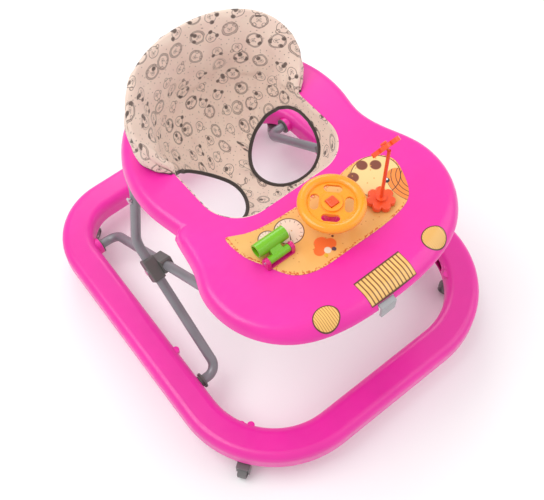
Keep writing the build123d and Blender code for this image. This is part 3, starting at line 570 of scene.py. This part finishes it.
def panel_print():
    """Tan printed panel: a crumbly orange border, two dial rings, a striped round blob and specks."""
    s = label_base("panel_print", TAN)
    at = s.node("ShaderNodeSeparateXYZ")
    s.put(at.inputs[0], s.where)
    x, y, _ = at.outputs
    edge = s.node("ShaderNodeAttribute", attribute_name="edge")
    inset = edge.outputs["Fac"]
    crumb = s.noise(420.0, 3.0)
    inset_wave = s.math("ADD", inset, s.math("MULTIPLY", s.math("SUBTRACT", crumb, 0.5), 0.004))
    border = s.span(inset_wave, 0.0052, 0.0038)
    fleck = s.span(s.noise(330.0, 2.0), 0.50, 0.56)
    wash = s.span(s.noise(26.0, 3.0), 0.35, 0.7)
    ground = s.mix(wash, (0.80, 0.42, 0.11), (0.86, 0.47, 0.14))
    rust = s.mix(fleck, (0.80, 0.17, 0.03), (0.62, 0.11, 0.02))
    colour = s.mix(border, ground, s.mix(fleck, ground, rust))
    line = (0.10, 0.028, 0.012)

    def dist(cx, cy, sx=1.0, sy=1.0):
        p = s.vector("SUBTRACT", s.where, (cx, cy, 0.0))
        return s.vector("LENGTH", s.vector("MULTIPLY", p, (sx, sy, 0.0)))

    def disc(d, r, soft=0.0005):
        return s.span(d, r + soft, r - soft)

    def ring(d, r, w):
        return s.span(s.math("ABSOLUTE", s.math("SUBTRACT", d, r)), w + 0.0003, w - 0.0003)

    for cx, cy, r in ((-0.052, -0.106, 0.021), (-0.083, -0.098, 0.014)):
        d = dist(cx, cy)
        colour = s.mix(disc(d, r), colour, (0.85, 0.66, 0.52))
        wheel_ticks = s.node("ShaderNodeTexGradient", gradient_type="RADIAL")
        s.put(wheel_ticks.inputs[0], s.vector("SUBTRACT", s.where, (cx, cy, 0.0)))
        beat = s.math("FRACT", s.math("MULTIPLY", wheel_ticks.outputs["Fac"], 16.0))
        tick = s.math("MULTIPLY", s.span(beat, 0.12, 0.08), ring(d, r * 0.82, r * 0.09))
        needle = s.math("MULTIPLY", s.span(s.math("ABSOLUTE", s.math("SUBTRACT", wheel_ticks.outputs["Fac"], 0.17)), 0.014, 0.008), disc(d, r * 0.7))
        marks = s.math("MAXIMUM", s.math("MAXIMUM", ring(d, r, 0.0007), tick), s.math("MULTIPLY", needle, disc(d, r)))
        colour = s.mix(marks, colour, line)
    # A rounded patch with curved hatching beside the flower.
    big = dist(0.105, -0.112, 0.9, 1.0)
    patch = disc(big, 0.034, 0.0008)
    colour = s.mix(patch, colour, (0.88, 0.60, 0.25))
    hatch = s.math("SINE", s.math("MULTIPLY", dist(0.150, -0.150), 900.0))
    brow = s.math("MULTIPLY", disc(dist(0.128, -0.150, 1.2, 0.8), 0.026), s.span(dist(0.150, -0.150), 0.0, 0.001))
    colour = s.mix(brow, colour, s.mix(s.span(hatch, 0.8, 0.95), (0.85, 0.25, 0.04), line))
    colour = s.mix(ring(big, 0.034, 0.0006), colour, line)
    for cx, cy in ((0.078, -0.094), (0.102, -0.086), (0.118, -0.098)):
        colour = s.mix(disc(dist(cx, cy), 0.0085, 0.0008), colour, (0.20, 0.045, 0.02))
    for cx, cy in ((0.112, -0.128), (0.084, -0.132)):
        colour = s.mix(disc(dist(cx, cy), 0.0046), colour, (0.012, 0.010, 0.009))
        colour = s.mix(disc(dist(cx + 0.0015, cy + 0.0012), 0.0018), colour, (0.85, 0.85, 0.82))
    # A small badge of blobs towards the front.
    for cx, cy, r, tone in (
        (-0.030, -0.150, 0.0110, (0.84, 0.16, 0.03)), (-0.020, -0.157, 0.0085, (0.84, 0.16, 0.03)),
        (-0.040, -0.157, 0.0080, (0.84, 0.16, 0.03)), (-0.030, -0.163, 0.0050, (0.80, 0.70, 0.55)),
        (-0.022, -0.167, 0.0034, (0.07, 0.05, 0.09)), (-0.037, -0.168, 0.0030, (0.72, 0.45, 0.03)),
    ):
        colour = s.mix(disc(dist(cx, cy), r), colour, tone)
    for cx, cy in ((-0.004, -0.142), (-0.010, -0.150), (0.004, -0.136)):
        colour = s.mix(disc(dist(cx, cy), 0.0018), colour, line)
    speck = s.node("ShaderNodeTexVoronoi", voronoi_dimensions="2D")
    s.put(speck.inputs["Vector"], s.where)
    s.put(speck.inputs["Scale"], 55.0)
    colour = s.mix(s.span(speck.outputs["Distance"], 0.07, 0.04), colour, (0.62, 0.26, 0.05))
    s.set("Base Color", colour)
    return s.mat


def lamp_print(name, centre):
    """Round lamp label: tan with thin wavy brown lines and a dark rim."""
    s = label_base(name, TAN)
    p = s.vector("SUBTRACT", s.where, centre)
    parts = s.node("ShaderNodeSeparateXYZ")
    s.put(parts.inputs[0], p)
    x, y, _ = parts.outputs
    wave = s.math("MULTIPLY", s.math("SUBTRACT", s.noise(38.0, 1.0), 0.5), 0.004)
    lines = s.math("SINE", s.math("MULTIPLY", s.math("ADD", x, wave), 2 * math.pi / 0.0033))
    colour = s.mix(s.span(lines, 0.45, 0.8), (0.85, 0.50, 0.14), (0.50, 0.20, 0.035))
    rim = s.vector("LENGTH", s.vector("MULTIPLY", p, (1 / 0.020, 1 / 0.017, 0.0)))
    colour = s.mix(s.span(rim, 0.90, 0.93), colour, (0.10, 0.03, 0.012))
    s.set("Base Color", colour)
    return s.mat


def grille_print(name, lo, hi):
    """Grille label: tan upright bars with rounded dark gaps."""
    s = label_base(name, TAN)
    parts = s.node("ShaderNodeSeparateXYZ")
    s.put(parts.inputs[0], s.where)
    x, y, _ = parts.outputs
    share = s.span(x, lo[0], hi[0])
    beat = s.math("FRACT", s.math("MULTIPLY", share, 13.0))
    off = s.math("ABSOLUTE", s.math("SUBTRACT", beat, 0.5))
    gap = s.span(off, 0.36, 0.41)
    ends = s.math("MAXIMUM", s.span(y, lo[1] + 0.003, lo[1] + 0.0015), s.span(y, hi[1] - 0.003, hi[1] - 0.0015))
    gap = s.math("MAXIMUM", gap, ends)
    wash = s.noise(90.0, 3.0)
    bars = s.mix(s.span(wash, 0.3, 0.7), (0.84, 0.48, 0.13), (0.88, 0.55, 0.19))
    bars = s.mix(s.span(off, 0.2, 0.36), bars, (0.72, 0.34, 0.07))
    s.set("Base Color", s.mix(gap, bars, (0.10, 0.035, 0.014)))
    return s.mat


def set_look(node, material):
    frame["nodes"][node].data.materials.clear()
    frame["nodes"][node].data.materials.append(material)


for word in ("right", "left"):
    lo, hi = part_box(f"headlight_label_{word}")
    middle = tuple((a + b) / 2 for a, b in zip(lo, hi))
    set_look(f"headlight_label_{word}", lamp_print(f"lamp_print_{word}", middle))
set_look("grille_label", grille_print("grille_print", *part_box("grille_label")))

# The printed panel is rebuilt with rings of vertices that know their distance from the edge.
panel = frame["nodes"]["toy_panel"]
panel_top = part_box("toy_panel")[1][2]
outline = sorted(
    {(round(v.co.x, 5), round(v.co.y, 5)) for v in panel.data.vertices if v.co.z > panel_top - 0.0002},
    key=lambda p: math.atan2(p[1] + 0.125, p[0]),
)
PANEL_MID = Vector((0.0, -0.125, 0.0))
INSETS = (0.0, 0.0006, 0.002, 0.004, 0.006, 0.008, 0.012, 0.02, 0.04)
pverts, edge_values = [], []
for inset in INSETS:
    for x, y in outline:
        spoke = Vector((x, y, 0)) - PANEL_MID
        spoke *= max(0.05, 1 - inset / spoke.length)
        pverts.append(Vector((PANEL_MID.x + spoke.x, PANEL_MID.y + spoke.y, panel_top - (0.0006 if inset == 0 else 0))))
        edge_values.append(inset)
count = len(outline)
pfaces = []
for ring_at in range(len(INSETS) - 1):
    for i in range(count):
        a, b = ring_at * count + i, ring_at * count + (i + 1) % count
        pfaces.append((a, b, b + count, a + count))
pfaces.append(tuple((len(INSETS) - 1) * count + i for i in range(count)))
sticker = new_mesh("printed_panel", pverts, pfaces, panel_print())
attribute = sticker.data.attributes.new("edge", "FLOAT", "POINT")
for i, value in enumerate(edge_values):
    attribute.data[i].value = value
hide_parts("toy_panel")

# ---------------------------------------------------------------- stage, light, camera
floor = bpy.data.meshes.new("floor")
floor.from_pydata([(-4, -4, 0), (4, -4, 0), (4, 4, 0), (-4, 4, 0)], [], [(0, 1, 2, 3)])
floor = bpy.data.objects.new("floor", floor)
bpy.context.scene.collection.objects.link(floor)
ground = Shader("pale_floor", 0.6)
ground.set("Base Color", ground.mix(ground.noise(3.0, 2.0), (0.93, 0.93, 0.93), (0.96, 0.96, 0.96)))
floor.data.materials.append(ground.mat)

bpy.context.scene.view_settings.view_transform = "Standard"
world = bpy.data.worlds.new("studio")
world.use_nodes = True
world.node_tree.nodes["Background"].inputs[0].default_value = (1.0, 1.0, 1.0, 1.0)
world.node_tree.nodes["Background"].inputs[1].default_value = 0.75
bpy.context.scene.world = world


def area_light(name, at, look_at, size, power):
    light = bpy.data.lights.new(name, "AREA")
    light.size = size
    light.energy = power
    obj = bpy.data.objects.new(name, light)
    obj.location = at
    obj.rotation_euler = (Vector(look_at) - Vector(at)).to_track_quat("-Z", "Y").to_euler()
    bpy.context.scene.collection.objects.link(obj)


area_light("key", (-1.1, 0.5, 2.3), (0, 0, 0.2), 1.6, 26)
area_light("fill", (1.6, -1.2, 1.8), (0, 0, 0.2), 2.0, 14)
area_light("rim", (0.9, 1.7, 1.6), (0, 0, 0.3), 1.2, 12)

AZIMUTH, ELEVATION, ROLL = (math.radians(v) for v in (-38.85378, 59.37436, -0.33495))
DISTANCE, SHIFT_X, SHIFT_Y, LENS = 1.6833, -0.0018905, -0.0538538, 62.87
back = Vector((math.sin(AZIMUTH) * math.cos(ELEVATION), -math.cos(AZIMUTH) * math.cos(ELEVATION), math.sin(ELEVATION)))
across = Vector((math.cos(AZIMUTH), math.sin(AZIMUTH), 0))
up = back.cross(across)
right = across * math.cos(ROLL) + up * math.sin(ROLL)
top = up * math.cos(ROLL) - across * math.sin(ROLL)
camera = bpy.data.objects.new("camera", bpy.data.cameras.new("camera"))
camera.data.lens = LENS
camera.data.sensor_width = 36.0
spot = back * DISTANCE - right * SHIFT_X - top * SHIFT_Y
camera.matrix_world = Matrix.Translation(spot) @ Matrix((right, top, back)).transposed().to_4x4()
bpy.context.scene.collection.objects.link(camera)
bpy.context.scene.camera = camera
